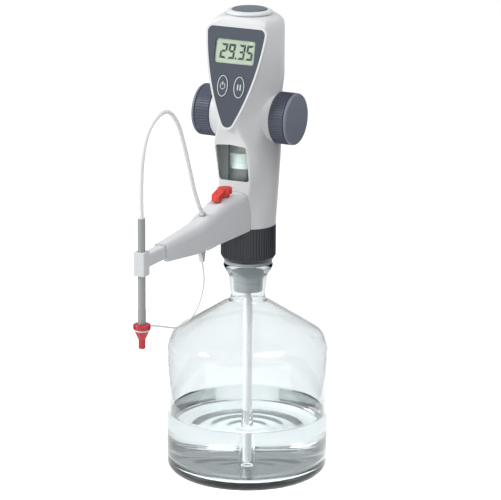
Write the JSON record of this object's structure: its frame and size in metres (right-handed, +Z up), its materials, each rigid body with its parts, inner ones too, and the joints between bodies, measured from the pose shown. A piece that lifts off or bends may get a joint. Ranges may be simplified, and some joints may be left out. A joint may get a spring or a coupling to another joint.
{
  "type": "digital burette",
  "caption": "Digital bottle-top burette with side handwheels, display panel, return valve lever and long titrating arm, on a clear glass bottle.",
  "frame": {"origin": "centre of the bottle's base, on the surface it stands on", "axes": "+Z up along the bottle's axis, -Y to the front with the panel and the titrating arm, +X to the right"},
  "size_m": [0.15, 0.2831, 0.4375],
  "materials": {
    "clear_glass": "clear, smooth",
    "liquid": "clear liquid, modelled as a closed solid",
    "adapter_grey": "smooth moulded",
    "seal_black": "soft ring",
    "nut_grey": "fine axial ribs",
    "shell_white": "smooth satin moulding",
    "smoked_clear": "smoked clear plastic",
    "panel_slate": "fine satin film",
    "clear_lens": "clear",
    "display_green": "pale green display glass",
    "board_green": "circuit board",
    "black_plastic": "moulded",
    "key_slate": "satin",
    "steel": "bright",
    "cell_jacket": "plain jacket",
    "wheel_slate": "fine axial ribs",
    "cap_slate": "smooth satin",
    "bush_brass": "plain bearing",
    "gear_cream": "moulded gear plastic",
    "frame_alu": "satin",
    "piston_white": "smooth",
    "valve_grey": "smooth",
    "lever_red": "smooth",
    "hose_white": "translucent tubing",
    "arm_grey": "smooth satin moulding",
    "tube_grey": "smooth",
    "cap_red": "smooth",
    "tether_white": "soft"
  },
  "bodies": {
    "bottle": {"reagent_bottle": "clear_glass", "bottle_neck": "clear_glass", "reagent": "liquid"},
    "adapter": {"bottle_adapter": "adapter_grey", "sealing_ring": "seal_black"},
    "head": {"front_housing": "shell_white", "rear_housing": "shell_white", "control_panel": "panel_slate", "display_lens": "clear_lens", "lcd_module": "display_green", "control_board": "board_green", "panel_switches": "black_plastic", "top_ring": "shell_white", "clear_key_spring": "steel", "top_switch": "board_green", "battery_holder": "black_plastic", "battery_cells": "cell_jacket", "battery_contacts": "steel", "housing_screws": "steel", "shaft_bushes": "bush_brass", "gear_pin": "steel", "gear_frame": "frame_alu", "glass_cylinder": "clear_glass", "cylinder_retainer": "frame_alu", "valve_block": "valve_grey", "filling_valve": "valve_grey", "discharge_valve": "valve_grey", "feed_line": "hose_white", "titrating_arm": "arm_grey", "hose_gland": "black_plastic", "upper_filling_tube": "hose_white", "hose_rise": "hose_white", "tether_upper": "tether_white"},
    "nut": {"union_nut": "nut_grey"},
    "cover": {"battery_cover": "shell_white"},
    "window": {"inspection_window": "smoked_clear"},
    "power_button": {"power_key": "panel_slate"},
    "pause_button": {"pause_key": "panel_slate"},
    "clear_button": {"clear_key": "key_slate"},
    "handwheels": {"left_handwheel": "wheel_slate", "right_handwheel": "wheel_slate", "wheel_caps": "cap_slate", "drive_shaft": "steel", "shaft_pinion": "gear_cream"},
    "idler": {"reduction_gear": "gear_cream", "rack_pinion": "gear_cream"},
    "piston_unit": {"piston_rack": "gear_cream", "piston": "piston_white", "piston_seal": "piston_white"},
    "return_valve": {"valve_spindle": "piston_white", "valve_lever": "lever_red"},
    "extension": {"arm_extension": "arm_grey", "tube_clamp": "arm_grey", "tether_middle": "tether_white"},
    "guide": {"guide_tube": "tube_grey", "titrating_tip": "hose_white", "hose_fall": "hose_white", "tether_lower": "tether_white"},
    "cap": {"screw_cap": "cap_red"},
    "sleeve": {"lower_filling_tube": "hose_white"}
  },
  "joints": [
    {"name": "adapter_lift", "type": "slide", "parent": "bottle", "child": "adapter", "axis": [0, 0, 1], "range_m": [0, 0.3]},
    {"name": "head_turn", "type": "hinge", "parent": "adapter", "child": "head", "pos_m": [0, 0, 0.218], "axis": [0, 0, 1], "continuous": true},
    {"name": "nut_turn", "type": "hinge", "parent": "head", "child": "nut", "pos_m": [0, 0, 0.22], "axis": [0, 0, 1], "continuous": true},
    {"name": "cover_off", "type": "slide", "parent": "head", "child": "cover", "axis": [0, 1, 0], "range_m": [0, 0.02]},
    {"name": "window_off", "type": "slide", "parent": "head", "child": "window", "axis": [0, -1, 0], "range_m": [0, 0.025]},
    {"name": "power_press", "type": "slide", "parent": "head", "child": "power_button", "axis": [0, 0.9763, -0.2164], "range_m": [0, 0.0006], "stiffness_N_per_m": 2000, "springref_m": -0.0003},
    {"name": "pause_press", "type": "slide", "parent": "head", "child": "pause_button", "axis": [0, 0.9763, -0.2164], "range_m": [0, 0.0006], "stiffness_N_per_m": 2000, "springref_m": -0.0003},
    {"name": "clear_press", "type": "slide", "parent": "head", "child": "clear_button", "axis": [0, 0, -1], "range_m": [0, 0.0015], "stiffness_N_per_m": 800, "springref_m": -0.001, "deforming": ["clear_key_spring"]},
    {"name": "handwheel_turn", "type": "hinge", "parent": "head", "child": "handwheels", "pos_m": [0, 0.001, 0.339], "axis": [1, 0, 0], "range_deg": [-1719, 1863]},
    {"name": "idler_turn", "type": "hinge", "parent": "head", "child": "idler", "pos_m": [0, -0.0022, 0.35975], "axis": [1, 0, 0], "range_deg": [-311, 287]},
    {"name": "piston_slide", "type": "slide", "parent": "head", "child": "piston_unit", "axis": [0, 0, 1], "range_m": [-0.024, 0.026]},
    {"name": "lever_turn", "type": "hinge", "parent": "head", "child": "return_valve", "pos_m": [0, -0.0472, 0.26], "axis": [0, 0, 1], "range_deg": [0, 90]},
    {"name": "arm_extend", "type": "slide", "parent": "head", "child": "extension", "axis": [0, -1, 0], "range_m": [0, 0.0195]},
    {"name": "guide_height", "type": "slide", "parent": "extension", "child": "guide", "axis": [0, 0, 1], "range_m": [-0.025, 0.03]},
    {"name": "cap_off", "type": "slide", "parent": "guide", "child": "cap", "axis": [0, 0, -1], "range_m": [0, 0.03]},
    {"name": "sleeve_slide", "type": "slide", "parent": "head", "child": "sleeve", "axis": [0, 0, 1], "range_m": [-0.003, 0.045]}
  ],
  "couplings": [
    {"joint": "handwheel_turn", "follows": "piston_slide", "rad_per_m": 1250},
    {"joint": "idler_turn", "follows": "piston_slide", "rad_per_m": -208.33}
  ]
}
